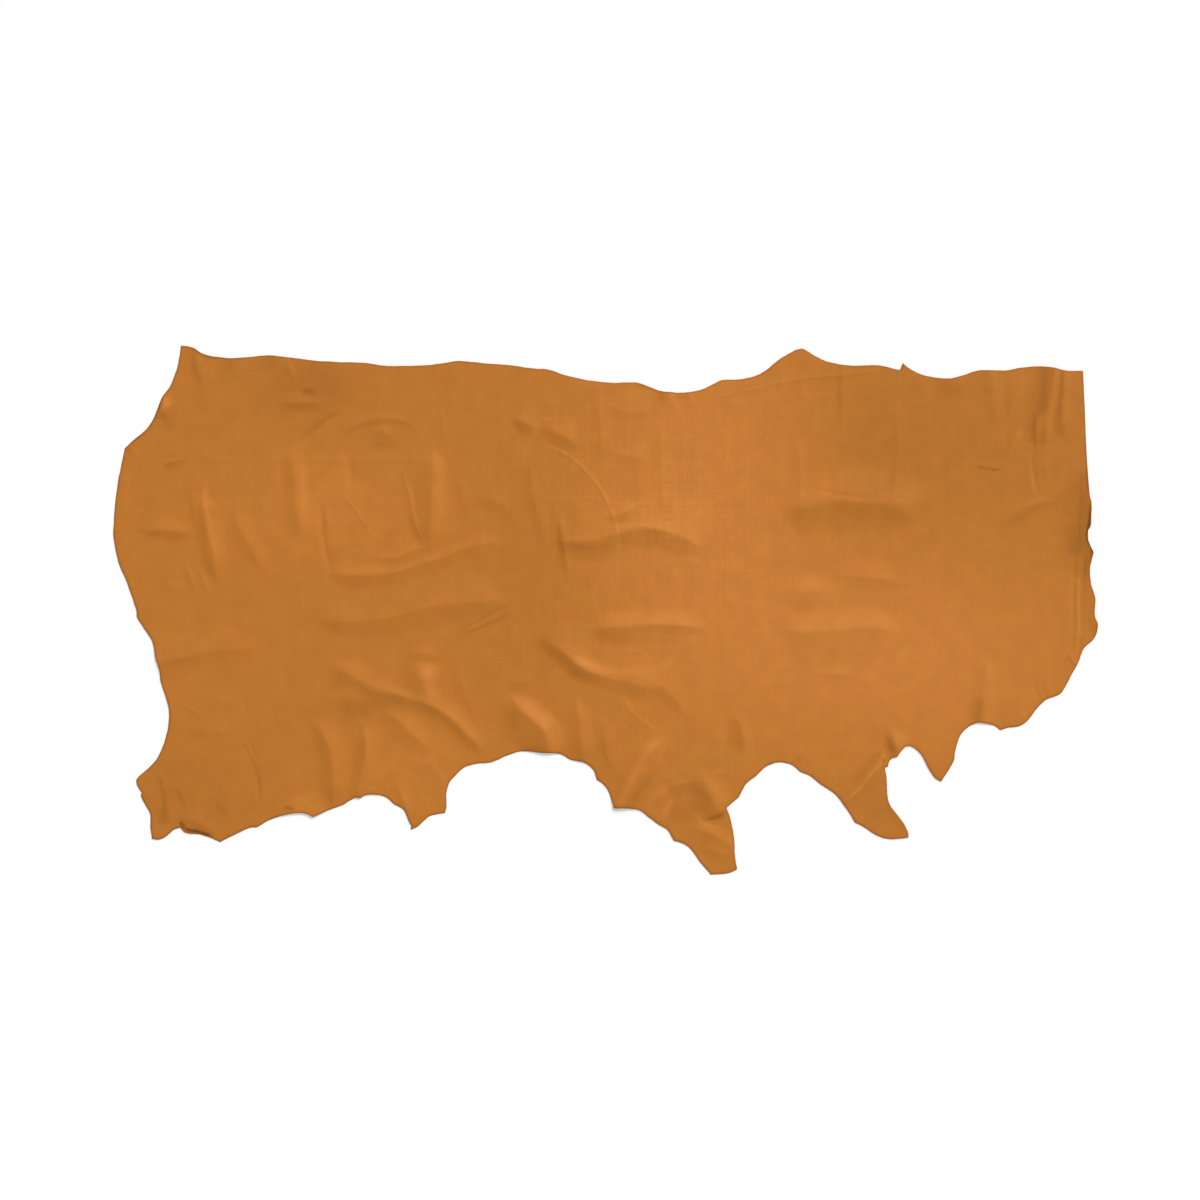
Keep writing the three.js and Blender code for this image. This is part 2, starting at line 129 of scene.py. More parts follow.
# Folds that the solid has too. The crest is walked so that its long flank is on the left.
# name: long flank, short flank, height, crest rounding, crest
FOLDS = {
    "shoulder fold": (105, 45, 7, 3, [
        (-125, 160), (-30, 155), (40, 175), (80, 180), (120, 180), (155, 170), (190, 155), (230, 130)]),
    "shoulder crease": (25, 20, 4, 2.5, [(-15, 205), (30, 215), (60, 230), (90, 250)]),
    "shoulder roll": (40, 40, 5, 3, [(-50, -50), (15, -40), (80, -35), (170, -35), (240, -40)]),
    "neck fold": (80, 60, 7.2, 8, [
        (385, 225), (470, 235), (515, 245), (575, 245), (620, 240), (665, 225), (710, 195)]),
    "neck ripple": (40, 30, 2.6, 4, [(495, 80), (585, 75), (630, 70), (690, 50)]),
    "neck patch": (45, 60, 2.6, 8, [(395, 40), (440, 40), (490, 40), (530, 50)]),
    "neck roll": (50, 80, 5.2, 4, [(385, -45), (450, -50), (540, -45), (590, -40), (670, -45)]),
    "elbow fold": (85, 35, 5, 4, [
        (-160, -60), (-105, -85), (-80, -105), (-55, -125), (-30, -140), (0, -150), (45, -160),
        (90, -170), (130, -185)]),
    "elbow knuckle": (35, 40, 4.8, 5, [(-115, -80), (-80, -105), (-55, -125), (-30, -140), (0, -150)]),
    "elbow roll": (40, 20, 2.6, 5, [(80, -155), (110, -165), (140, -185), (170, -220), (190, -250)]),
    "loin crease": (45, 25, 4, 4, [(-220, 430), (-190, 425), (-150, 400)]),
    "loin crease 2": (45, 30, 4.5, 4, [(-150, 415), (-115, 400), (-80, 380), (-50, 360)]),
    "loin hollow": (30, 20, 2.4, 3, [(-760, 470), (-700, 465), (-625, 470)]),
    "upper rib fold": (20, 30, 3, 2.5, [
        (-640, 85), (-585, 80), (-530, 80), (-485, 85), (-440, 95), (-395, 110), (-360, 120),
        (-325, 135), (-280, 150)]),
    "rib swell": (30, 60, 2.6, 4, [(-345, 130), (-300, 145), (-260, 150), (-215, 155)]),
    "lower rib fold": (70, 40, 4, 2.5, [
        (-660, -20), (-610, -25), (-550, -25), (-460, -10), (-395, 5), (-325, 15), (-260, 20), (-210, 30)]),
    "hip fold": (55, 40, 3, 2.5, [(-1090, -145), (-1000, -120), (-935, -105), (-880, -90), (-775, -85)]),
    "butt fold": (30, 25, 3.2, 4, [(-1070, 180), (-1005, 180), (-970, 180), (-940, 175), (-915, 155)]),
    "rump ridge": (40, 30, 4.4, 4, [(-910, 290), (-905, 240), (-895, 180), (-885, 130), (-870, 45)]),
    "hip ridge": (35, 30, 3, 5, [(-845, 250), (-815, 175), (-780, 110), (-765, 70)]),
    "front of the hip": (45, 30, 4.4, 5, [(-710, 375), (-700, 290), (-690, 200), (-690, 150)]),
    "loin ridge": (40, 40, 5.4, 3.5, [(-390, 380), (-390, 280), (-395, 180), (-395, 120)]),
    "stifle fold": (45, 45, 4.2, 5, [
        (-630, -115), (-575, -145), (-540, -165), (-505, -180), (-435, -200)]),
    "stifle fold 2": (40, 25, 4.6, 3, [
        (-505, -180), (-435, -200), (-405, -210), (-350, -240), (-305, -285), (-265, -335)]),
    "stifle brace": (30, 40, 2, 4, [(-560, -160), (-525, -180), (-415, -210)]),
    "stifle knuckle": (60, 40, 6, 8, [(-425, -110), (-415, -150), (-405, -180), (-390, -205)]),
    "stifle hollow": (30, 45, 3, 5, [(-640, -200), (-560, -205), (-520, -215)]),
    "stifle crease": (25, 35, 3, 3, [(-520, -225), (-465, -250), (-445, -270), (-420, -295), (-375, -325)]),
    "flank fold": (40, 65, 9.5, 5, [
        (-225, -180), (-190, -225), (-160, -250), (-140, -270), (-130, -305), (-135, -360)]),
    "belly pleat": (30, 30, 4, 6, [(-75, -180), (-65, -215), (-55, -295), (-50, -370)]),
    "belly pleat 2": (35, 20, 2, 4, [(-10, -215), (-5, -250), (10, -360)]),
    "back thigh fold": (40, 30, 4.6, 4, [
        (-675, -245), (-640, -270), (-625, -295), (-615, -330), (-610, -460)]),
    "front thigh fold": (45, 25, 5.2, 3, [(-545, -235), (-540, -320), (-545, -365), (-570, -460)]),
    "hind shank roll": (45, 25, 2.5, 4, [(-980, -450), (-910, -480), (-855, -510)]),
    "elbow ridge": (25, 50, 7, 5, [(5, -500), (30, -445), (70, -360), (95, -325), (145, -285)]),
    "shank fold": (45, 45, 5.5, 7, [(205, -360), (230, -405), (250, -440), (280, -485)]),
    "shank roll": (25, 50, 3, 3, [(180, -490), (215, -495), (245, -505), (270, -520), (300, -555)]),
    "cheek fold": (55, 20, 3, 3, [(520, -455), (545, -425), (600, -365), (620, -340), (640, -295)]),
    "armpit": (35, 25, 5, 4, [(635, -250), (650, -295), (675, -365)]),
    "throat fold": (35, 30, 4, 6, [(860, -90), (855, -160), (850, -205), (845, -305)]),
    "poll fold": (15, 45, 6.5, 2.5, [(1015, 610), (1005, 500), (995, 435), (985, 345)]),
    "poll crease": (25, 25, 3.6, 3, [(1035, 595), (1030, 495), (1030, 430), (1040, 365)]),
    "raised neck end": (85, 25, 9, 10, [(1125, 50), (1110, 120), (1105, 180), (1110, 295), (1125, 365)]),
}

# Smaller folds of the scene's sheet alone, in the same columns.
CREASES = {
    "shoulder lip": (15, 25, 1.2, 2, [(-15, 165), (45, 180), (110, 185), (170, 170)]),
    "butt wrinkle": (10, 20, 1.6, 1.5, [(-1005, 325), (-965, 335), (-935, 340)]),
    "tail head dent": (20, 20, 0.8, 3, [(-920, 595), (-915, 560), (-900, 480)]),
    "tail head line": (10, 15, 1.2, 2.5, [(-725, 580), (-710, 550), (-690, 500)]),
    "butt corner": (20, 15, 1.6, 4, [(-1000, 475), (-995, 455), (-990, 425)]),
    "loin arc": (20, 15, 1.5, 2, [(-600, 390), (-570, 410), (-535, 425), (-480, 430), (-415, 415)]),
    "loin blot": (20, 15, 1.2, 3, [(-695, 495), (-670, 500), (-645, 495)]),
    "loin blot 2": (20, 20, 0.9, 4, [(-540, 405), (-505, 405), (-480, 395)]),
    "loin blot 3": (15, 15, 0.8, 4, [(-530, 375), (-475, 375)]),
    "rib line 3": (10, 10, 1.4, 1.5, [(-460, 330), (-440, 250), (-425, 190), (-400, 135)]),
    "rib line 4": (20, 20, 1, 3, [(-345, 345), (-335, 305), (-305, 205)]),
    "rib line 5": (15, 20, 1.6, 2, [(-545, 115), (-475, 120), (-415, 140), (-370, 160)]),
    "rib ridge": (20, 10, 0.9, 2, [(-630, 270), (-630, 235), (-620, 145)]),
    "rump line": (15, 10, 1.2, 2, [(-930, 320), (-930, 240), (-920, 170)]),
    "rump pleat": (20, 15, 1.6, 2, [(-945, 120), (-940, 90), (-915, 25)]),
    "rump fade": (20, 15, 0.8, 3, [(-1010, 55), (-935, 55)]),
    "press line": (30, 10, 0.5, 1.5, [(-955, 340), (-865, 340), (-685, 335), (-350, 335)]),
    "saddle arc": (25, 20, 0.8, 3, [(-325, 255), (-250, 245), (-220, 225), (-195, 185)]),
    "girth line": (20, 20, 1.7, 3, [(-165, 335), (-165, 280), (-155, 235), (-140, 145)]),
    "girth line 2": (20, 15, 2, 2.5, [(-110, 240), (-100, 180), (-90, 125), (-80, 45)]),
    "girth line 3": (20, 20, 1.6, 3, [(-10, 500), (-10, 320)]),
    "girth line 4": (20, 20, 1.5, 3, [(125, 445), (125, 305), (130, 215)]),
    "girth line 5": (20, 20, 1.2, 2, [(155, 130), (150, 90), (155, 25)]),
    "withers dent": (20, 30, 1.8, 3, [(130, 520), (140, 490), (150, 470), (170, 430)]),
    "withers dent 2": (10, 15, 1.4, 2, [(185, 510), (190, 480), (195, 450)]),
    "withers streak": (20, 20, 1.3, 3, [(-15, 355), (20, 355), (60, 345), (100, 345)]),
    "withers streak 2": (25, 20, 1.2, 3, [(-20, 475), (35, 450), (135, 445)]),
    "brisket shadow": (45, 20, 1.6, 3, [(-250, -160), (-170, -160), (-120, -170)]),
    "brisket line": (20, 20, 0.8, 3, [(-345, -80), (-325, -160), (-290, -245), (-260, -295)]),
    "stifle brow": (20, 20, 1.4, 3, [(-465, -100), (-435, -95), (-400, -100), (-355, -120)]),
    "gaskin wrinkle": (20, 15, 1.5, 2.5, [(-470, -365), (-450, -440), (-435, -480)]),
    "gaskin dent": (20, 20, 1, 4, [(-415, -320), (-390, -350), (-350, -420)]),
    "gaskin rise": (60, 20, 4, 6, [(-765, -475), (-720, -470), (-675, -470), (-605, -455)]),
    "thigh swell": (30, 20, 1.2, 3, [(-960, -270), (-810, -275)]),
    "shank blot": (20, 20, 1, 4, [(-880, -440), (-860, -450), (-855, -465)]),
    "elbow inside": (20, 20, 0.8, 3, [(0, -295), (15, -335), (35, -370), (65, -395)]),
    "shank shadow": (10, 30, 1.6, 3, [(115, -400), (150, -395), (190, -385), (220, -380)]),
    "shank slope": (25, 40, 2.2, 4, [(95, -430), (120, -415), (145, -400)]),
    "shank foot line": (25, 25, 1.2, 3, [(205, -535), (235, -540), (305, -565)]),
    "shoulder dent": (30, 30, 3.4, 4, [(290, -215), (300, -250), (310, -290), (315, -340)]),
    "shoulder mark": (20, 20, 1, 3, [(10, -85), (35, -95), (70, -95), (100, -110)]),
    "gullet dent": (20, 20, 1.2, 3, [(415, -330), (440, -340), (460, -365)]),
    "cheek shadow": (20, 20, 1.2, 4, [(550, -455), (585, -430), (625, -400)]),
    "cheek edge": (20, 15, 1.6, 3, [(625, -420), (665, -475), (685, -505)]),
    "neck line": (20, 20, 1.5, 3, [(440, 415), (435, 360), (440, 235)]),
    "neck line 2": (15, 15, 0.8, 3, [(535, 595), (535, 535), (535, 370)]),
    "neck line 3": (20, 15, 1.2, 2.5, [(655, 495), (655, 430), (655, 215)]),
    "neck blot": (20, 35, 1.6, 5, [(735, 530), (765, 520), (800, 520), (830, 535)]),
    "neck dapple": (30, 20, 1.4, 4, [(465, -140), (500, -145), (570, -140)]),
    "cape line": (20, 20, 1.8, 3, [(870, 560), (875, 475), (880, 405)]),
    "cape line 2": (25, 15, 1.2, 3, [(915, 550), (915, 505), (910, 405)]),
    "cape line 3": (20, 15, 1.5, 2, [(935, 430), (920, 390), (900, 350)]),
    "cape line 4": (15, 10, 1.8, 1.5, [(985, 465), (970, 440), (970, 400), (970, 360), (975, 335)]),
    "cape line 5": (15, 10, 1, 1.5, [(985, 360), (990, 320), (985, 270)]),
    "nape arc": (20, 25, 2.2, 2, [(885, 170), (905, 200), (935, 225), (965, 240), (1030, 250)]),
    "neck end strip": (10, 35, 4.5, 4, [(1110, 115), (1110, 45), (1115, -90)]),
    "neck corner": (15, 10, 1.6, 2, [(1030, -70), (1040, -95), (1075, -150)]),
    "throat blot": (15, 20, 1.2, 3, [(935, -210), (940, -240), (955, -265)]),
}

# Veins, wrinkles and pressed lines in the grain alone, in the same columns.
WRINKLES = {
    "butt wrinkle 2": (10, 10, 0.8, 1.5, [(-1000, 345), (-975, 355), (-950, 370)]),
    "butt wrinkle 3": (10, 10, 0.6, 1.5, [(-1010, 375), (-985, 385), (-965, 390)]),
    "hip arc": (15, 15, -1, 2, [(-690, 380), (-660, 405), (-625, 430), (-585, 450)]),
    "loin pleat": (15, 10, 0.8, 2, [(-505, 425), (-495, 400), (-480, 370)]),
    "loin pleat 2": (10, 10, 0.7, 1.5, [(-375, 475), (-370, 440), (-360, 370)]),
    "loin streak": (15, 15, -1, 3, [(-575, 365), (-575, 315), (-570, 265)]),
    "rib line": (10, 10, -1.2, 1.5, [(-645, 260), (-635, 170), (-615, 55)]),
    "rib vein": (5, 5, 0.6, 0.8, [(-615, 270), (-565, 230), (-550, 205), (-515, 160)]),
    "rib wrinkle": (6, 6, -0.9, 0.8, [(-340, -50), (-295, -30), (-250, -5), (-200, 20)]),
    "rib wrinkle 2": (6, 6, -0.8, 0.8, [(-325, -60), (-280, -40), (-250, -25), (-205, -5)]),
    "rib wrinkle 3": (5, 5, -0.7, 0.8, [(-290, -60), (-265, -45), (-235, -25), (-215, -15)]),
    "rump pleat 2": (10, 10, 0.8, 1.5, [(-910, 90), (-905, 70), (-895, 30)]),
    "neck edge line": (5, 5, 0.6, 1, [(215, 470), (305, 490), (440, 520), (505, 525), (635, 540)]),
    "crest vein": (5, 5, 0.75, 0.8, [
        (-155, 375), (-100, 355), (-50, 320), (-10, 270), (15, 215), (25, 180), (25, 140)]),
    "flank vein": (5, 5, 0.5, 0.8, [(-25, 15), (-20, -10), (-15, -45)]),
    "flank vein 2": (5, 5, 0.5, 0.8, [(-10, -55), (15, -40), (30, -20), (40, 15)]),
    "flank vein 3": (5, 5, 0.5, 0.8, [
        (30, -160), (40, -185), (50, -215), (70, -240), (125, -280), (140, -300)]),
    "hock line": (7, 7, -0.9, 1, [(-835, -275), (-795, -335), (-785, -365), (-775, -455)]),
    "hock line 2": (7, 7, -0.9, 1, [(-810, -275), (-785, -335), (-775, -370)]),
    "hock line 3": (9, 9, -0.6, 1.5, [(-830, -160), (-790, -265)]),
    "thigh vein": (5, 7, 0.7, 1, [(-955, -205), (-915, -235), (-900, -250)]),
    "shank line": (9, 8, -0.9, 1, [(-1015, -360), (-1000, -395), (-995, -430), (-990, -495)]),
    "shank line 2": (8, 8, -0.9, 1, [(-965, -395), (-960, -420), (-950, -450), (-945, -475)]),
    "elbow vein": (5, 5, 0.6, 0.8, [(-5, -290), (0, -315), (25, -375)]),
    "shank top line": (8, 8, 0.7, 1, [(205, -375), (240, -370), (300, -365)]),
    "shank top line 2": (12, 12, 0.8, 2, [(125, -385), (150, -380), (175, -375)]),
    "shank notch": (9, 9, -1.1, 1.2, [(215, -475), (250, -465), (280, -450)]),
    "cheek crease": (10, 10, -1.2, 1.2, [(520, -450), (545, -420), (595, -370), (620, -340), (635, -290)]),
    "neck dent": (10, 10, -0.8, 1.5, [
        (450, 280), (485, 270), (515, 260), (550, 255), (595, 250), (640, 250)]),
    "cape line 6": (9, 9, -1.1, 1.5, [(955, 370), (960, 315), (970, 270), (985, 245)]),
    "neck end line": (7, 7, 1.1, 1, [(1060, 130), (1060, -70), (1055, -115)]),
    "neck end line 2": (7, 9, 1.3, 1, [(1070, 140), (1070, 0), (1065, -125)]),
    "jaw line": (7, 7, -0.7, 1, [(960, -150), (970, -180), (980, -215)]),
    "jaw line 2": (7, 7, -0.6, 1, [(975, -150), (985, -180), (995, -210)]),
}

# Broad lighter and darker patches: partly where the leather took its colour more or less, partly painted
# light and shade of the uneven lighting across the hide. name: centre, half sizes, share lighter
DYE_TONE = 0.937
DYE_AND_LIGHT_PATCHES = {
    "back": ((225, 250), (260, 430), 0.165),
    "lower neck": ((665, -100), (380, 215), 0.165),
    "upper neck": ((800, 380), (380, 200), -0.05),
    "neck block": ((600, 400), (85, 150), -0.05),
    "neck fold": ((550, 220), (125, 30), -0.04),
    "hip": ((-620, 225), (215, 110), 0.08),
    "rump": ((-710, 505), (270, 90), -0.03),
    "rump blot": ((-675, 510), (95, 65), -0.08),
    "loin": ((-645, 490), (65, 55), -0.05),
    "hind shank": ((-945, -430), (160, 135), -0.07),
    "stifle": ((-575, -215), (135, 70), -0.03),
    "gaskin": ((-415, -350), (135, 100), 0.06),
    # Painted shade beside the raised neck end, whose slope faces away from the key light.
    "neck end": ((1075, 175), (34, 80), -0.18),
    "girth": ((-160, 110), (100, 225), -0.05),
    "cheek": ((610, -430), (60, 70), -0.07),
    "shank": ((185, -420), (60, 50), -0.04),
    "belly by the elbow": ((-20, -345), (45, 55), -0.06),
}
# Where brushing shows most. name: centre, half sizes, strength
BRUSHED_PATCHES = {
    "back and withers": ((130, 240), (330, 300), 1.0),
    "upper neck": ((840, 390), (260, 170), 0.6),
}

# Lines paled or darkened on the grain: veins, scratches and dark lines along the cut edge, and many painted
# highlights on slopes that face the key light and painted shade in hollows, creases, under rolls and under
# curled edges. name: half width, share lighter, line
MARKS_AND_PAINTED_LIGHT = {
    # Painted highlights along the elbow ridge, glint and bowl, and painted shade under the ridge and in the
    # elbow hollow.
    "elbow ridge": (10, 0.10, [(20, -455), (50, -395), (80, -340), (110, -295), (140, -280)]),
    "under the elbow ridge": (14, -0.13, [(35, -470), (60, -435), (80, -405), (110, -365)]),
    "elbow glint": (10, 0.08, [(-75, -105), (-40, -120), (0, -135)]),
    "elbow bowl": (11, 0.10, [(-75, -105), (-10, -130), (55, -140), (125, -130), (165, -95)]),
    "elbow hollow": (24, -0.07, [(-165, -55), (-120, -100), (-85, -130)]),
    "crest vein": (3.5, 0.06, [
        (-155, 375), (-100, 355), (-50, 320), (-10, 270), (15, 215), (25, 180), (25, 60)]),
    "flank vein": (3.5, 0.04, [(30, -160), (50, -215), (70, -240), (125, -280), (140, -300)]),
    # Painted shade in the shoulder fold's hollow, and painted light that lightens the shade under the
    # shoulder roll.
    "shoulder fold hollow": (10, -0.09, [(-105, 145), (-30, 140), (30, 145)]),
    "under the shoulder roll": (12, 0.07, [(35, -60), (100, -58), (175, -60), (235, -66)]),
    "shoulder fold end": (6, -0.08, [(-105, 200), (-100, 150), (-95, 95)]),
    # Painted highlights on the shank's slopes, glint and curl, and painted shade in its hollow, valley and
    # crease.
    "shank slope": (8, 0.10, [(95, -430), (120, -415), (145, -400)]),
    "shank slope 2": (8, 0.12, [(130, -475), (140, -440), (160, -420)]),
    "shank hollow": (20, -0.09, [(140, -450), (175, -455), (205, -460)]),
    "shank glint": (9, 0.06, [(240, -390), (260, -410), (280, -425)]),
    "shank valley": (22, -0.09, [(175, -380), (215, -410), (245, -440)]),
    "shank crease": (5, -0.30, [(225, -470), (250, -465), (275, -450)]),
    "shank curl": (5, 0.12, [(210, -450), (215, -475), (240, -485), (265, -485)]),
    # Painted highlight along the cheek crease and its glint, and painted shade above the crease and in the
    # armpit.
    "cheek crease": (3, 0.15, [
        (530, -435), (550, -420), (575, -395), (595, -370), (620, -345), (630, -315), (635, -295)]),
    "above the cheek crease": (9, -0.10, [(550, -395), (570, -370), (590, -350), (615, -325), (625, -300)]),
    "cheek glint": (7, 0.08, [(570, -470), (585, -470)]),
    "armpit": (9, -0.22, [(635, -280), (650, -325)]),
    "armpit nick": (3, -0.30, [(625, -335), (630, -345)]),
    # Painted shade below the nape arc.
    "nape arc": (12, -0.06, [(905, 190), (950, 220), (1010, 240), (1050, 240)]),
    "scratch": (2.4, -0.16, [(835, 320), (865, 315), (900, 315)]),
    "scratch 2": (3.5, -0.12, [(835, 320), (850, 320)]),
    "scratch 3": (3, -0.12, [(865, 315), (885, 315)]),
    # Painted highlights and painted shade along the raised neck end.
    "neck end light": (3.5, 0.13, [(1070, 150), (1065, 40), (1060, -110)]),
    "neck end light 2": (4, 0.08, [(1050, 140), (1050, 40), (1045, -60)]),
    "neck end dark": (4, -0.12, [(1080, 130), (1075, 20), (1070, -105)]),
    "neck end seam": (4, -0.07, [(1070, 345), (1070, 250), (1065, 110)]),
    "neck end blot": (14, -0.07, [(1055, 170), (1055, 115)]),
    "neck end edge": (3.5, -0.50, [(1090, 245), (1090, 200), (1085, 165), (1095, 135), (1090, 100)]),
    "neck end edge 2": (4, -0.25, [(1080, 400), (1085, 320), (1090, 245)]),
    "neck corner": (6, 0.06, [(1025, -85), (1040, -105)]),
    # Painted shade in the poll's hollows and the cape's hollow, and painted highlights on the cape line and
    # cape glint.
    "poll hollow": (11, -0.13, [(985, 600), (985, 540), (985, 480), (970, 430), (960, 400)]),
    "poll hollow 2": (7, -0.12, [(1030, 600), (1025, 540), (1025, 480), (1020, 420)]),
    "cape line": (3, 0.07, [(955, 385), (955, 325), (965, 280), (980, 250)]),
    "cape glint": (8, 0.08, [(935, 415), (925, 385), (910, 350)]),
    "cape streak": (5, 0.035, [(895, 520), (895, 350)]),
    "cape streak 2": (5, 0.04, [(935, 560), (935, 470)]),
    "cape streak 3": (4, 0.03, [(870, 405), (870, 340)]),
    "cape hollow": (9, -0.05, [(855, 560), (855, 470)]),
    # Painted shade in the withers' hollows and painted highlights of the withers glints.
    "withers hollow": (12, -0.13, [(115, 510), (125, 485), (130, 460)]),
    "withers hollow 2": (8, -0.09, [(165, 495), (175, 470)]),
    "withers glint": (13, 0.06, [(60, 500), (85, 475)]),
    "withers glint 2": (11, 0.05, [(60, 365), (95, 360)]),
    "withers edge": (4, -0.18, [(60, 512), (100, 500), (125, 492), (165, 488)]),
    "saddle edge": (3.5, -0.15, [(325, 525), (350, 533), (370, 547), (390, 563)]),
    "backbone tip edge": (4, -0.25, [(-950, 593), (-925, 588), (-910, 578), (-890, 570), (-800, 567)]),
    "tail head edge": (4, -0.30, [(-1080, 365), (-1035, 405), (-1015, 435), (-995, 480), (-980, 500)]),
    "tail head": (8, -0.11, [(-925, 590), (-925, 540), (-900, 500)]),
    "tail head 2": (6, -0.10, [(-845, 575), (-845, 530)]),
    "tail head 3": (14, -0.05, [(-760, 575), (-745, 535)]),
    "tail head glint": (8, 0.05, [(-895, 560), (-885, 535), (-890, 510)]),
    "tail head glint 2": (6, 0.05, [(-725, 575), (-710, 545), (-700, 515)]),
    # Painted highlight on the butt corner, and painted shade beside it and at the butt tip.
    "butt corner": (12, 0.20, [(-995, 485), (-980, 455)]),
    "butt corner dark": (15, -0.10, [(-1005, 450), (-985, 420), (-975, 400)]),
    "butt tip": (7, -0.12, [(-1085, 370), (-1065, 355)]),
    # Painted highlights along the rump ridge, the front of the hip and the ribs.
    "rump ridge": (7, 0.08, [(-905, 290), (-900, 245), (-890, 190), (-880, 140), (-875, 110)]),
    "front of the hip": (7, 0.08, [(-685, 335), (-675, 245), (-670, 180)]),
    "rib glint": (11, 0.06, [(-590, 370), (-585, 305), (-580, 235)]),
    "rib glint 2": (8, 0.06, [(-375, 360), (-370, 290), (-370, 200)]),
    # Painted shade below the hip fold, the butt fold and the butt wrinkle.
    "hip fold": (10, -0.05, [(-1010, -130), (-950, -115), (-890, -105)]),
    "butt fold": (9, -0.05, [(-1045, 170), (-990, 170), (-935, 165)]),
    "butt wrinkle": (9, -0.08, [(-1000, 320), (-965, 330), (-935, 335)]),
    # Painted shade in the loin's hollows and arcs, and painted highlights of the loin glint and the hip arc
    # light.
    "loin hollow": (8, -0.11, [(-685, 490), (-650, 490)]),
    "loin hollow 2": (9, -0.05, [(-725, 460), (-640, 455)]),
    "loin blot": (19, -0.10, [(-530, 380), (-495, 375), (-465, 385)]),
    "loin glint": (5, 0.07, [(-160, 410), (-145, 425), (-120, 435)]),
    "loin arc": (7, -0.05, [(-600, 390), (-575, 405), (-540, 420), (-505, 425), (-460, 425), (-420, 415)]),
    "hip arc": (6, -0.11, [(-690, 380), (-660, 405), (-625, 430), (-585, 450)]),
    "hip arc light": (6, 0.04, [(-665, 390), (-630, 415), (-595, 435)]),
    "girth": (10, -0.05, [(-180, 330), (-175, 260)]),
    "neck line": (5, -0.10, [(525, 560), (525, 490), (530, 420)]),
    # Painted highlights: the neck line light and the neck patch.
    "neck line light": (5, 0.10, [(650, 285), (650, 240)]),
    "neck blot": (18, -0.09, [(735, 495), (770, 490), (805, 495)]),
    "neck patch": (14, 0.07, [(440, 65), (485, 60)]),
    # Painted shade in the stifle hollow and across the stifle saddle, and painted highlights of the stifle,
    # flank and thigh glints and along the second stifle fold.
    "stifle hollow": (20, -0.09, [(-600, -220), (-560, -225), (-520, -225)]),
    "stifle glint": (17, 0.15, [(-405, -115), (-395, -160), (-380, -205)]),
    "stifle saddle": (12, -0.06, [(-485, -165), (-460, -175), (-435, -185)]),
    "flank glint": (13, 0.06, [(-195, -200), (-165, -220), (-135, -250), (-115, -270)]),
    "stifle fold 2": (5, 0.06, [(-365, -220), (-335, -240), (-305, -270), (-280, -305)]),
    "thigh glint": (6, 0.06, [(-440, -245), (-405, -270), (-370, -300)]),
    "hock line": (4, -0.10, [(-820, -300), (-795, -340), (-780, -390), (-775, -440)]),
    # Painted shadow under the curled edge of the hind shank.
    "hind shank curl": (3.5, -0.65, [(-955, -485), (-940, -495), (-910, -500), (-880, -510)]),
    "hind shank curl 2": (4, -0.45, [(-960, -475), (-945, -490)]),
    "hind shank line": (6, -0.10, [(-1015, -360), (-1000, -395), (-995, -430), (-990, -495)]),
    "hind shank line 2": (6, -0.09, [(-965, -395), (-960, -420), (-950, -450), (-945, -475)]),
    "hind shank foot": (11, -0.08, [(-1000, -440), (-995, -490)]),
    "shank blot": (9, -0.08, [(-880, -440), (-860, -450), (-855, -465)]),
    "shank blot 2": (9, -0.07, [(-905, -460), (-890, -470)]),
    # Painted highlight at the hock, and painted shadow of a small curl at the hock notch.
    "hock glint": (14, 0.05, [(-710, -430), (-670, -415), (-655, -395)]),
    "hock notch": (5, -0.28, [(-725, -445), (-700, -450)]),
    # Painted shade by the throat fold, at the gullet notch and in the shoulder dent.
    "throat fold": (12, -0.14, [(845, -190), (835, -255)]),
    "gullet notch": (10, -0.10, [(425, -330), (445, -345)]),
    "shoulder dent": (17, -0.08, [(290, -235), (295, -270), (295, -320)]),
    # Painted shade along the rib wrinkles.
    "rib wrinkles": (5, -0.05, [(-350, -70), (-300, -45), (-200, -10)]),
    "rib wrinkle": (2.5, -0.09, [(-340, -50), (-295, -30), (-250, -5), (-200, 20)]),
    "rib wrinkle 2": (2.5, -0.09, [(-325, -60), (-280, -40), (-250, -25), (-205, -5)]),
}


def smooth_line(points, chord):
    """Points along a centripetal Catmull-Rom line through the given ones, about chord apart."""
    points = np.asarray(points, float)
    ends = np.vstack([2 * points[0] - points[1], points, 2 * points[-1] - points[-2]])
    line = []
    for p0, p1, p2, p3 in zip(ends, ends[1:], ends[2:], ends[3:]):
        gaps = [max(math.dist(a, b), SAME_PLACE) ** 0.5 for a, b in ((p0, p1), (p1, p2), (p2, p3))]
        t0, t1, t2, t3 = np.cumsum([0.0, *gaps])
        steps = max(1, math.ceil(math.dist(p1, p2) / chord))
        for t in np.linspace(t1, t2, steps, endpoint=False):
            a1 = ((t1 - t) * p0 + (t - t0) * p1) / (t1 - t0)
            a2 = ((t2 - t) * p1 + (t - t1) * p2) / (t2 - t1)
            a3 = ((t3 - t) * p2 + (t - t2) * p3) / (t3 - t2)
            b1 = ((t2 - t) * a1 + (t - t0) * a2) / (t2 - t0)
            b2 = ((t3 - t) * a2 + (t - t1) * a3) / (t3 - t1)
            line.append(((t2 - t) * b1 + (t - t1) * b2) / (t2 - t1))
    return np.array([*line, points[-1]])


def smooth_step(share):
    share = np.clip(share, 0.0, 1.0)
    return share * share * (3.0 - 2.0 * share)


def noise_at(xy, wavelength, layer=0.0):
    """Smooth noise from about -1 to 1 at points in millimetres, the same in each run."""
    return np.array([noise.noise(Vector((x / wavelength, y / wavelength, layer))) for x, y in xy])


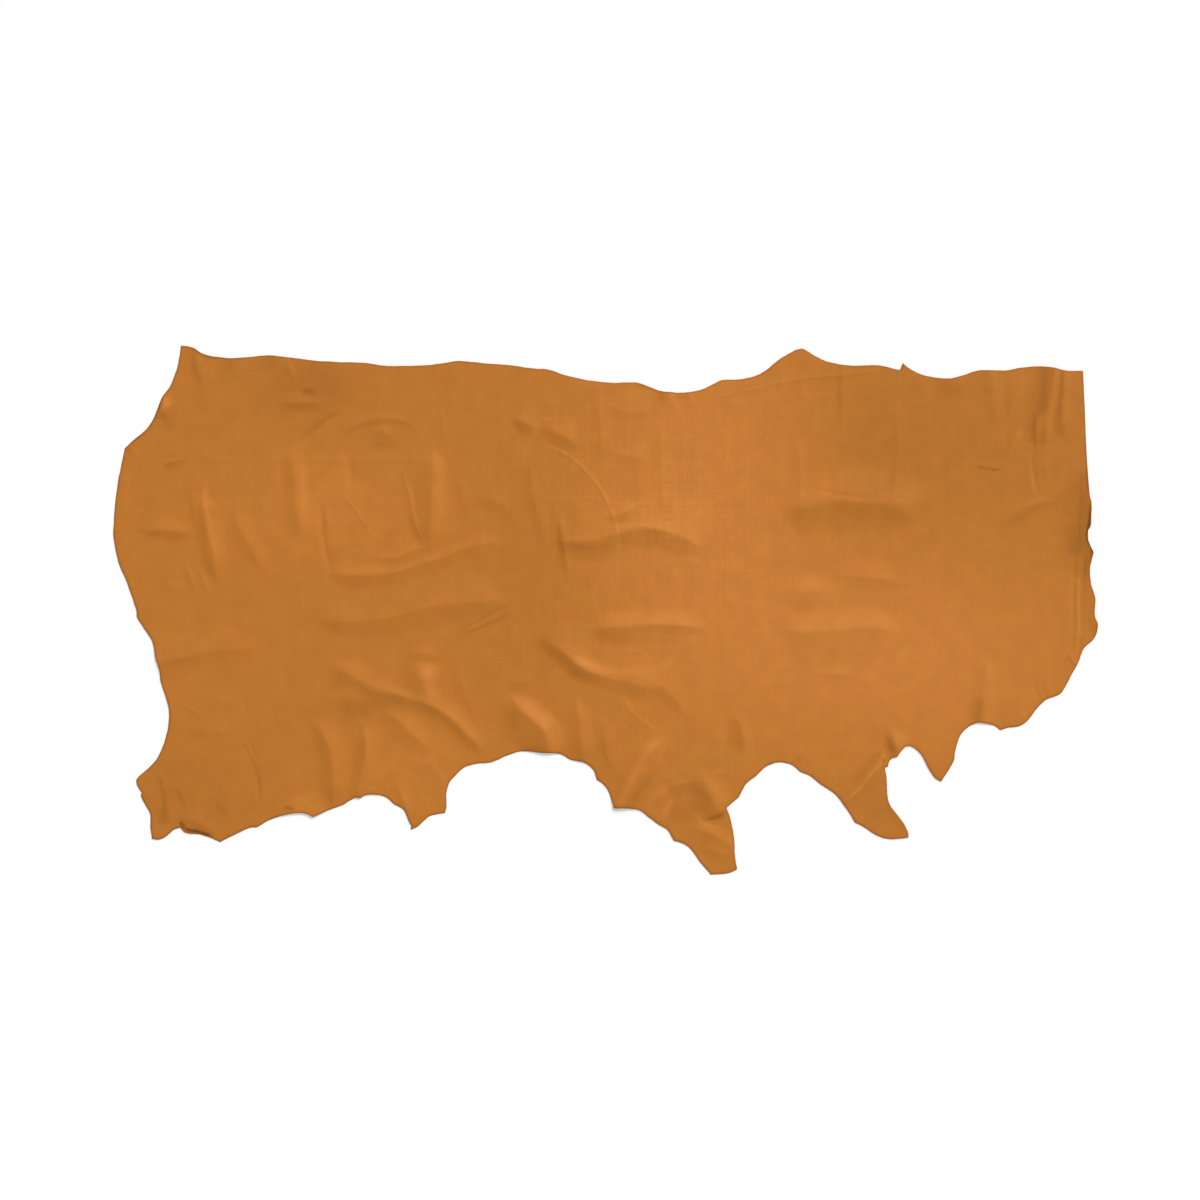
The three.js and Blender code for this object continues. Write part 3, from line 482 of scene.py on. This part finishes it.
def wander(xy):
    """How far a point's folds are shifted, so that no crest runs quite true."""
    shift, wavelength = WANDER
    return shift * np.stack([noise_at(xy, wavelength, layer) for layer in WANDER_LAYERS], axis=1)


def beside(line, xy, reach):
    """Which points are near a line, their distance from it, whether they are on its left, and
    how far they are from its nearer end along it, as a share of the length it fades over."""
    near = np.all((xy > line.min(0) - reach) & (xy < line.max(0) + reach), axis=1)
    spots = xy[near]
    steps = np.linalg.norm(np.diff(line, axis=0), axis=1)
    run = np.concatenate([[0.0], np.cumsum(steps)])
    nearest = np.full(len(spots), np.inf)
    on_left = np.zeros(len(spots), bool)
    place = np.zeros(len(spots))
    for start, end, step, passed in zip(line, line[1:], steps, run):
        along_x, along_y = (end - start) / step
        offset = spots - start
        along = np.clip(offset[:, 0] * along_x + offset[:, 1] * along_y, 0.0, step)
        across = offset[:, 1] * along_x - offset[:, 0] * along_y
        distance = np.hypot(offset[:, 0] - along * along_x, offset[:, 1] - along * along_y)
        closer = distance < nearest
        nearest[closer] = distance[closer]
        on_left[closer] = across[closer] > 0.0
        place[closer] = (passed + along)[closer]
    return near, nearest, on_left, np.minimum(place, run[-1] - place) / min(FADE, 0.5 * run[-1])


def fold_lift(xy, long_flank, short_flank, height, rounding, crest):
    """How far one fold lifts the leather at each point."""
    reach = max(long_flank, short_flank) + 2.0 * rounding
    near, distance, on_left, from_end = beside(smooth_line(crest, CREST_STEP), xy, reach)
    fade = smooth_step(from_end)
    width = np.where(on_left, long_flank, short_flank) * (END_WIDTH + (1.0 - END_WIDTH) * fade)
    share = np.clip((np.hypot(distance, rounding) - rounding) / width, 0.0, 1.0)
    lifts = np.zeros(len(xy))
    lifts[near] = height * fade * (1.0 - share) ** np.where(on_left, LIGHT_POWER, LEE_POWER)
    return lifts


def lift_of(folds, xy):
    return sum(fold_lift(xy, *fold) for fold in folds.values())


def relief(xy):
    """Height of the flesh side above the surface it lies on, and how far the wrinkles add to the
    grain side."""
    moved = xy + wander(xy)
    variation, wavelength = UNEVEN
    strength = 1.0 + variation * noise_at(xy, wavelength, UNEVEN_LAYER)
    swell = sum(height * noise_at(xy, length, length) for height, length in SWELLS)
    lift = lift_of(FOLDS, moved) + lift_of(CREASES, moved)
    return np.maximum(0.0, swell + lift * strength), lift_of(WRINKLES, moved) * strength


def soft_patch(xy, centre, half):
    """1 at the centre of an oval patch, dying away to 0 past its half sizes."""
    return np.exp(-(((xy - centre) / half) ** 2).sum(1))


def brushed(xy):
    """How plainly brushing shows at each point."""
    return sum(strength * soft_patch(xy, centre, half) for centre, half, strength in BRUSHED_PATCHES.values())


def dye_and_painted_light(xy):
    """How light the grain is at each point: its uneven colouring, with painted light and shade from the broad
    patches and the marks.
    """
    tone = np.full(len(xy), DYE_TONE)
    for centre, half, gain in DYE_AND_LIGHT_PATCHES.values():
        tone += gain * soft_patch(xy, centre, half)
    moved = xy + wander(xy)
    for half, gain, line in MARKS_AND_PAINTED_LIGHT.values():
        near, distance, _, from_end = beside(smooth_line(line, CREST_STEP), moved, MARK_REACH * half)
        tone[near] += gain * smooth_step(2.0 * from_end) * np.exp(-((distance / half) ** 2))
    return tone


def cut_edge(node):
    """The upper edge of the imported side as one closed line, anticlockwise, in millimetres."""
    mesh = bmesh.new()
    mesh.from_mesh(node.data)
    bmesh.ops.remove_doubles(mesh, verts=mesh.verts, dist=SAME_PLACE)
    mesh.normal_update()
    neighbours = {}
    for edge in mesh.edges:
        upright = sorted(face.normal.z for face in edge.link_faces)
        if len(upright) == 2 and abs(upright[0]) < TOP_FACE < upright[1]:
            first, second = edge.verts
            neighbours.setdefault(first.index, []).append(second.index)
            neighbours.setdefault(second.index, []).append(first.index)
    mesh.verts.ensure_lookup_table()
    start = here = next(iter(neighbours))
    before = None
    loop = []
    while not loop or here != start:
        loop.append([mesh.verts[here].co.x / MM, mesh.verts[here].co.y / MM])
        ahead = next(n for n in neighbours[here] if n != before)
        before, here = here, ahead
    mesh.free()
    loop = np.array(loop)
    return loop if area_within(loop) > 0 else loop[::-1]


def area_within(loop):
    """Area inside the closed line, negative where it runs clockwise."""
    ahead = np.roll(loop, -1, axis=0)
    return 0.5 * float(np.sum(loop[:, 0] * ahead[:, 1] - ahead[:, 0] * loop[:, 1]))


def without_straights(loop):
    """The closed line without the points that lie on the straight between their neighbours."""
    before, after = np.roll(loop, 1, axis=0), np.roll(loop, -1, axis=0)
    chord = after - before
    offset = loop - before
    bow = np.abs(chord[:, 0] * offset[:, 1] - chord[:, 1] * offset[:, 0])
    return loop[bow > STRAIGHT_SLACK * np.linalg.norm(chord, axis=1)]


def smooth_between_corners(loop):
    """The closed line with a point every EDGE_STEP, curved except at its sharp corners."""
    sides = np.roll(loop, -1, axis=0) - loop
    heading = np.arctan2(sides[:, 1], sides[:, 0])
    turn = (heading - np.roll(heading, 1) + math.pi) % (2.0 * math.pi) - math.pi
    corners = np.flatnonzero(np.abs(turn) > CORNER_TURN)
    stretches = []
    for first, last in zip(corners, [*corners[1:], corners[0] + len(loop)]):
        stretch = loop[np.arange(first, last + 1) % len(loop)]
        stretches.append(smooth_line(stretch, EDGE_STEP)[:-1])
    return np.vstack(stretches)


def outward(loop):
    """Unit normals of the closed line, pointing away from the leather."""
    along = np.roll(loop, -1, axis=0) - np.roll(loop, 1, axis=0)
    normal = np.stack([along[:, 1], -along[:, 0]], axis=1)
    return normal / np.linalg.norm(normal, axis=1, keepdims=True)


def ragged(loop):
    """The edge as a skiving knife leaves it, a little uneven, and straighter at the neck cut."""
    steady = (loop[:, 0] > NECK_CUT_X) & (loop[:, 1] > NECK_CUT_Y)
    stray = sum(height * noise_at(loop, length, layer) for height, length, layer in EDGE_WAVES)
    return loop + outward(loop) * (np.where(steady, STEADY_SHARE, 1.0) * stray)[:, None]


def inside_and_clear(xy, loop):
    """Whether each point is inside the closed line, and its distance from it."""
    ends = np.roll(loop, -1, axis=0)
    side = ends - loop
    length_squared = np.maximum((side**2).sum(1), TINY)
    inside = np.zeros(len(xy), bool)
    clear = np.zeros(len(xy))
    for part in np.array_split(np.arange(len(xy)), max(1, len(xy) // BATCH)):
        x, y = xy[part, 0, None], xy[part, 1, None]
        crosses = (loop[:, 1] > y) != (ends[:, 1] > y)
        rise = np.where(side[:, 1] == 0.0, TINY, side[:, 1])
        meets = loop[:, 0] + (y - loop[:, 1]) * side[:, 0] / rise
        inside[part] = (crosses & (x < meets)).sum(1) % 2 == 1
        share = ((x - loop[:, 0]) * side[:, 0] + (y - loop[:, 1]) * side[:, 1]) / length_squared
        share = np.clip(share, 0.0, 1.0)
        gap = np.hypot(x - loop[:, 0] - share * side[:, 0], y - loop[:, 1] - share * side[:, 1])
        clear[part] = gap.min(1)
    return inside, clear


def well_inside(points, loop, margin):
    inside, clear = inside_and_clear(points, loop)
    return points[inside & (clear > margin)]


def crest_points():
    """Rows of points along and beside every crest and mark, where the leather changes most."""
    rows = []
    for *_, crest in (*FOLDS.values(), *CREASES.values(), *WRINKLES.values(), *MARKS_AND_PAINTED_LIGHT.values()):
        line = smooth_line(crest, CREST_STEP)
        along = np.gradient(line, axis=0)
        across = np.stack([-along[:, 1], along[:, 0]], axis=1)
        across /= np.linalg.norm(across, axis=1, keepdims=True)
        rows += [line + offset * across for offset in CREST_ROWS]
    points = np.vstack(rows)
    points -= wander(points)
    _, first = np.unique(np.round(points / CREST_SPACING), axis=0, return_index=True)
    return points[np.sort(first)]


def apart_from(points, others, gap):
    """The points that are at least gap from all the others."""
    tree = kdtree.KDTree(len(others))
    for number, (x, y) in enumerate(others):
        tree.insert((x, y, 0.0), number)
    tree.balance()
    return points[[tree.find((x, y, 0.0))[2] > gap for x, y in points]]


def staggered_grid(loop, step):
    low, high = loop.min(0), loop.max(0)
    x, y = np.meshgrid(np.arange(low[0], high[0], step), np.arange(low[1], high[1], step * ROW_SPACING))
    x[1::2] += 0.5 * step
    return np.stack([x.ravel(), y.ravel()], axis=1)


def inset_rows(loop):
    rows = [loop - inset * outward(loop) for inset in EDGE_INSETS]
    return [well_inside(row, loop, INSET_KEPT * inset) for row, inset in zip(rows, EDGE_INSETS)]


def grain_points(loop):
    """Points of the grain side: rows inside the edge, rows along the crests, and a grid."""
    margin = EDGE_INSETS[-1] + 0.5 * GRAIN_STEP
    crests = well_inside(crest_points(), loop, EDGE_INSETS[-1] + CREST_MARGIN)
    grid = well_inside(staggered_grid(loop, GRAIN_STEP), loop, margin)
    apart = apart_from(grid, crests, CREST_CLEARANCE * GRAIN_STEP)
    return np.vstack([*inset_rows(loop), crests, apart])


def flesh_points(loop):
    return well_inside(staggered_grid(loop, FLESH_STEP), loop, 0.5 * FLESH_STEP)


def triangulate(loop, points):
    """Points and triangles that fill the closed line, with the point number of each of its own."""
    rim = len(loop)
    edges = [(i, (i + 1) % rim) for i in range(rim)]
    given = [Vector(point) for point in (*loop, *points)]
    flat, _, triangles, sources, _, _ = delaunay_2d_cdt(given, edges, [], 1, SAME_PLACE)
    ring = np.full(rim, -1)
    for number, made_from in enumerate(sources):
        for source in made_from:
            if source < rim:
                ring[source] = number
    return np.array([tuple(point) for point in flat]), triangles, ring


def build_sheet(name, loop):
    """The whole side as one closed mesh: grain face, rounded rim and flesh face."""
    top_xy, top_faces, top_ring = triangulate(loop, grain_points(loop))
    low_xy, low_faces, low_ring = triangulate(loop, flesh_points(loop))
    _, top_clear = inside_and_clear(top_xy, loop)
    settled, wrinkles = relief(top_xy)
    rubbed = EDGE_ROUNDING * np.clip(1.0 - top_clear / EDGE_INSETS[-1], 0.0, 1.0) ** 2
    top = np.column_stack([top_xy, settled + wrinkles + THICKNESS - rubbed])
    under, _ = relief(low_xy)
    bottom = np.column_stack([low_xy, under])
    rim_xy = loop + EDGE_BULGE * outward(loop)
    middle = np.column_stack([rim_xy, 0.5 * (top[top_ring, 2] + bottom[low_ring, 2])])

    first_low, first_rim = len(top), len(top) + len(bottom)
    faces = [tuple(face) for face in top_faces]
    faces += [tuple(first_low + v for v in reversed(face)) for face in low_faces]
    for i in range(len(loop)):
        j = (i + 1) % len(loop)
        upper = int(top_ring[i]), int(top_ring[j])
        lower = first_low + int(low_ring[i]), first_low + int(low_ring[j])
        faces.append((upper[1], upper[0], first_rim + i, first_rim + j))
        faces.append((first_rim + j, first_rim + i, lower[0], lower[1]))
    mesh = bpy.data.meshes.new(name)
    mesh.from_pydata(np.vstack([top, bottom, middle]) * MM, [], faces)
    materials = np.concatenate([
        np.full(len(top_faces), GRAIN), np.full(len(low_faces), FLESH), np.full(2 * len(loop), CUT_EDGE)])
    mesh.polygons.foreach_set("material_index", materials.astype(np.int32))
    mesh.polygons.foreach_set("use_smooth", np.ones(len(faces), bool))
    plain = len(bottom) + len(middle)
    store(mesh, "from_edge", np.concatenate([top_clear, np.zeros(plain)]))
    store(mesh, "dye_and_painted_light", np.concatenate([dye_and_painted_light(top_xy), np.ones(plain)]))
    store(mesh, "brushed", np.concatenate([brushed(top_xy), np.zeros(plain)]))
    mesh.update()
    piece = bpy.data.objects.new(name, mesh)
    bpy.context.collection.objects.link(piece)
    return piece


def store(mesh, name, values):
    mesh.attributes.new(name, "FLOAT", "POINT").data.foreach_set("value", values)


def adder(tree):
    """A helper that adds a node to a node tree, with its inputs set or linked."""
    def add(kind, inputs=(), **settings):
        node = tree.nodes.new(kind)
        for key, value in settings.items():
            setattr(node, key, value)
        for socket, value in dict(inputs).items():
            if isinstance(value, bpy.types.NodeSocket):
                tree.links.new(value, node.inputs[socket])
            else:
                node.inputs[socket].default_value = value
        return node

    return add


def shade(name):
    """A new material, its shader, a helper that adds its nodes, and its links."""
    material = bpy.data.materials.new(name)
    material.use_nodes = True
    tree = material.node_tree
    return material, tree.nodes["Principled BSDF"], adder(tree), tree.links


def maths(add, operation, *values):
    """The result of a Math node."""
    return add("ShaderNodeMath", enumerate(values), operation=operation).outputs[0]


def patches(add, size, detail, roughness, closeness):
    """Cloudy noise around 0 in the leather's own coordinates, with patches of a size in mm."""
    place = add("ShaderNodeTexCoord").outputs["Object"]
    scaled = add("ShaderNodeVectorMath", {0: place, 1: closeness}, operation="MULTIPLY").outputs[0]
    cloud = add("ShaderNodeTexNoise", {
        "Vector": scaled, "Scale": 1.0 / (size * MM), "Detail": detail, "Roughness": roughness})
    return maths(add, "SUBTRACT", cloud.outputs["Fac"], 0.5)


def weighted(add, share, *cloud):
    """Such noise times the share that it adds."""
    return maths(add, "MULTIPLY", patches(add, *cloud), share)


def scaled_colour(add, colour, lightness):
    """The colour made lighter or darker."""
    return add("ShaderNodeVectorMath", {0: colour, "Scale": lightness}, operation="SCALE").outputs[0]


def surface(add, links, shader, height, finish):
    """Sets how the shader shines, and lets a height stand out as bumps."""
    roughness, specular, strength, depth = finish
    shader.inputs["Roughness"].default_value = roughness
    shader.inputs["Specular IOR Level"].default_value = specular
    bump = add("ShaderNodeBump", {"Strength": strength, "Distance": depth, "Height": height})
    links.new(bump.outputs[0], shader.inputs["Normal"])


def fibrous(add, links, shader, colour, kind, finish):
    """Bare fibres: one noise makes them lighter and darker, and makes their bumps."""
    share, *cloud = kind
    fibres = patches(add, *cloud)
    lightness = maths(add, "ADD", maths(add, "MULTIPLY", fibres, share), 1.0)
    links.new(scaled_colour(add, colour, lightness), shader.inputs["Base Color"])
    surface(add, links, shader, fibres, finish)


def leather_grain():
    """Vegetable tan coloured a little unevenly, with painted highlights and painted shade from its tone
    attribute, pressed and brushed both ways.
    """
    material, shader, add, links = shade("leather_grain")
    tone_with_painted_light = add("ShaderNodeAttribute", attribute_name="dye_and_painted_light").outputs["Fac"]
    brushing = add("ShaderNodeAttribute", attribute_name="brushed").outputs["Fac"]
    both_ways = maths(add, "ADD", weighted(add, *UPRIGHT_STREAKS), weighted(add, *LEVEL_STREAKS))
    streaks = maths(add, "ADD", both_ways, weighted(add, *FINE_STREAKS))
    strength = maths(add, "ADD", maths(add, "MULTIPLY", brushing, STREAKS_BRUSHED), STREAKS_LEAST)
    spread = maths(add, "ADD", weighted(add, *MOTTLE), maths(add, "MULTIPLY", streaks, strength))
    lightness = maths(add, "MULTIPLY", tone_with_painted_light, maths(add, "ADD", spread, 1.0))

    from_edge = add("ShaderNodeAttribute", attribute_name="from_edge").outputs["Fac"]
    band = add("ShaderNodeMapRange", {
        "Value": from_edge, "From Min": RIM_FROM, "From Max": RIM_TO, "To Min": 1.0, "To Max": 0.0})
    pale = add("ShaderNodeMapRange", {"Value": tone_with_painted_light, "From Min": PALE_FROM, "From Max": PALE_TO})
    hue = add("ShaderNodeMix", {
        "Factor": pale.outputs[0], 6: (*GRAIN_COLOUR, 1.0), 7: (*PALE_SHEEN_COLOUR, 1.0)}, data_type="RGBA")
    rubbed = add("ShaderNodeMix", {
        "Factor": maths(add, "MULTIPLY", band.outputs[0], RIM_SHARE),
        6: scaled_colour(add, hue.outputs[2], lightness),
        7: scaled_colour(add, RIM_COLOUR, lightness)}, data_type="RGBA")
    links.new(rubbed.outputs[2], shader.inputs["Base Color"])

    place = add("ShaderNodeTexCoord").outputs["Object"]
    pebbles = add("ShaderNodeTexVoronoi", {"Vector": place, "Scale": PEBBLES}, feature="SMOOTH_F1")
    wrinkles = add("ShaderNodeTexNoise", {
        "Vector": place, "Scale": WRINKLING, "Detail": 5.0, "Roughness": 0.6, "Distortion": 0.6})
    height = maths(add, "ADD", maths(add, "MULTIPLY", pebbles.outputs["Distance"], PEBBLE_HEIGHT),
                   wrinkles.outputs["Fac"])
    surface(add, links, shader, height, GRAIN_SURFACE)
    roughness = maths(add, "ADD", weighted(add, *GLOSS), GRAIN_SURFACE[0])
    links.new(roughness, shader.inputs["Roughness"])
    return material


def leather_cut_edge():
    """Cut fibres, darker than the grain and in fine layers."""
    material, shader, add, links = shade("leather_cut_edge")
    fibrous(add, links, shader, EDGE_COLOUR, EDGE_LAYERS, EDGE_SURFACE)
    return material


def leather_flesh():
    """The napped flesh side, pale and matt with loose fibres."""
    material, shader, add, links = shade("leather_flesh")
    fibrous(add, links, shader, FLESH_COLOUR, NAP, FLESH_SURFACE)
    shader.inputs["Sheen Weight"].default_value = FLESH_SHEEN
    return material


def seen_directly(add):
    """1 for camera, glossy and transmission rays, 0 for the rays that light things."""
    path = add("ShaderNodeLightPath").outputs
    seen = maths(add, "MAXIMUM", path["Is Camera Ray"], path["Is Glossy Ray"])
    return maths(add, "MAXIMUM", seen, path["Is Transmission Ray"])


def stage_floor():
    """A white floor that still takes the leather's shadow."""
    material, shader, add, links = shade("floor_white")
    material.node_tree.nodes.remove(shader)
    lift = maths(add, "MULTIPLY", seen_directly(add), FLOOR_LIFT)
    lit = add("ShaderNodeBsdfDiffuse", {"Color": (FLOOR_COLOUR,) * 3 + (1.0,)})
    glow = add("ShaderNodeEmission", {"Strength": lift})
    both = add("ShaderNodeAddShader", {0: lit.outputs[0], 1: glow.outputs[0]})
    links.new(both.outputs[0], material.node_tree.nodes["Material Output"].inputs["Surface"])
    mesh = bpy.data.meshes.new("floor")
    half = FLOOR_HALF
    mesh.from_pydata([(-half, -half, FLOOR_Z), (half, -half, FLOOR_Z), (half, half, FLOOR_Z),
                      (-half, half, FLOOR_Z)], [], [(0, 1, 2, 3)])
    mesh.materials.append(material)
    floor = bpy.data.objects.new("floor", mesh)
    bpy.context.collection.objects.link(floor)


def white_surroundings(scene):
    """Even fill from all round, seen as plain white."""
    world = bpy.data.worlds.new("studio")
    scene.world = world
    world.use_nodes = True
    tree = world.node_tree
    add = adder(tree)
    strength = add("ShaderNodeMapRange", {"Value": seen_directly(add), "To Min": FILL, "To Max": 1.0})
    backdrop = tree.nodes["Background"]
    tree.links.new(strength.outputs[0], backdrop.inputs["Strength"])
    backdrop.inputs["Color"].default_value = (1.0, 1.0, 1.0, 1.0)


def key_light():
    """A soft key from beyond the neck end of the backbone."""
    key = bpy.data.lights.new("key", "SUN")
    key.energy = KEY_SHARE * math.pi / math.sin(KEY_ELEVATION)
    key.angle = KEY_SPREAD
    lamp = bpy.data.objects.new("key", key)
    towards = Vector((math.cos(KEY_ELEVATION) * math.cos(KEY_AZIMUTH),
                      math.cos(KEY_ELEVATION) * math.sin(KEY_AZIMUTH), math.sin(KEY_ELEVATION)))
    lamp.rotation_euler = towards.to_track_quat("Z", "Y").to_euler()
    bpy.context.collection.objects.link(lamp)


def camera_above(scene):
    """A camera straight above, with the whole side in view."""
    camera = bpy.data.cameras.new("camera")
    camera.lens = LENS
    camera.clip_end = 100.0
    eye = bpy.data.objects.new("camera", camera)
    distance = VIEW_WIDTH * LENS / camera.sensor_width
    eye.location = (VIEW_CENTRE[0], VIEW_CENTRE[1], distance)
    bpy.context.collection.objects.link(eye)
    scene.camera = eye


loop = ragged(smooth_between_corners(without_straights(cut_edge(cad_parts["leather_side"]))))
side = build_sheet("leather_side_sheet", loop)
for material in (leather_grain(), leather_cut_edge(), leather_flesh()):
    side.data.materials.append(material)
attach(side, "root")
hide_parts("leather_side")

scene = bpy.context.scene
scene.view_settings.view_transform = "Standard"
stage_floor()
white_surroundings(scene)
key_light()
camera_above(scene)
